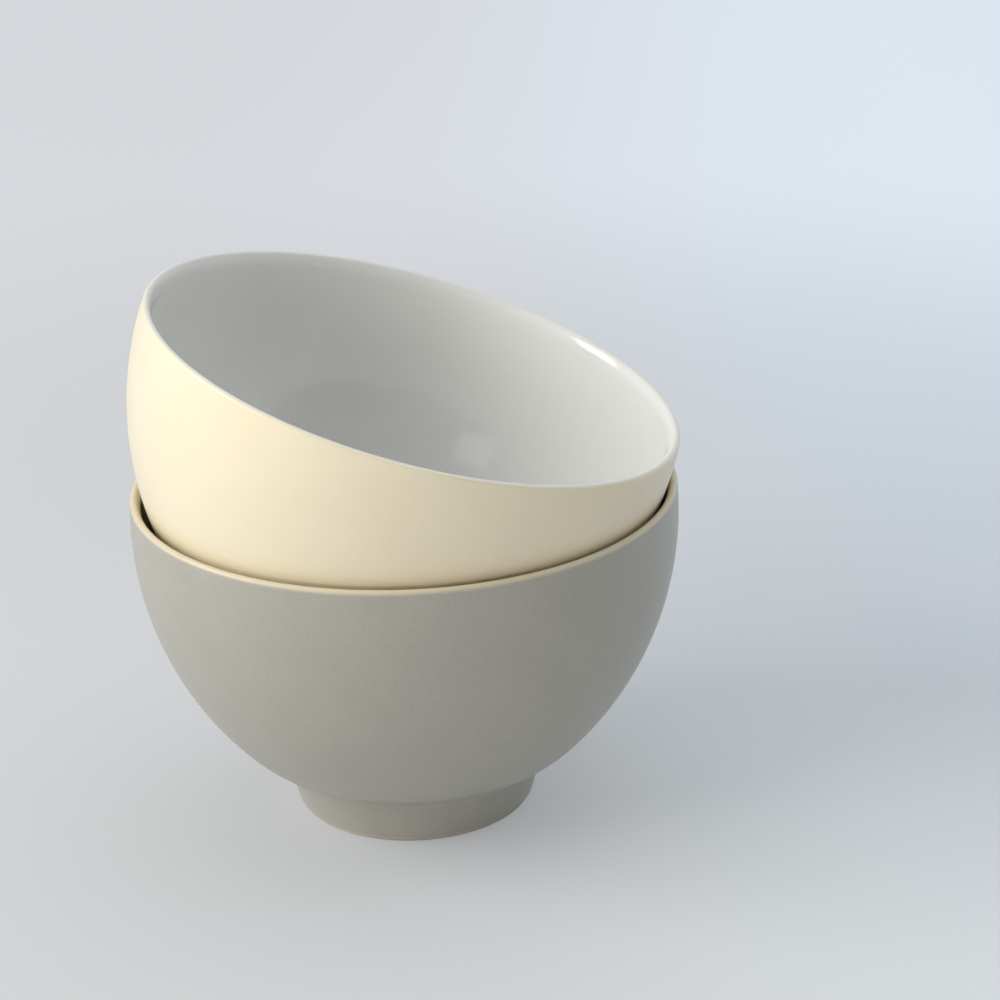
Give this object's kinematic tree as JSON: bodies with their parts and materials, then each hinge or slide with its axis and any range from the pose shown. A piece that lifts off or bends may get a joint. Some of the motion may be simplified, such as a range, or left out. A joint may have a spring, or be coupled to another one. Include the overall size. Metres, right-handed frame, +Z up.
{
  "type": "nesting latte bowls",
  "caption": "Glazed ceramic latte bowl on a flared foot ring, with a twin bowl leaning in its mouth that lifts straight out.",
  "frame": {"origin": "centre of the lower bowl's foot ring, on the surface that it stands on", "axes": "+Z up along the lower bowl's axis, +X the way the upper bowl leans, +Y away from the viewer"},
  "size_m": [0.1405, 0.14, 0.1399],
  "materials": {
    "clay": "matte",
    "taupe_glaze": "satin",
    "cream_glaze": "satin",
    "white_glaze": "gloss"
  },
  "bodies": {
    "lower_bowl": {"lower_bowl_body": "clay", "lower_bowl_outer_glaze": "taupe_glaze", "lower_bowl_inner_glaze": "white_glaze", "lower_bowl_base_glaze": "taupe_glaze"},
    "upper_bowl": {"upper_bowl_body": "clay", "upper_bowl_outer_glaze": "cream_glaze", "upper_bowl_inner_glaze": "white_glaze", "upper_bowl_base_glaze": "cream_glaze"}
  },
  "joints": [
    {"name": "upper_bowl_lift", "type": "slide", "parent": "lower_bowl", "child": "upper_bowl", "axis": [0, 0, 1], "range_m": [0, 0.09]}
  ]
}
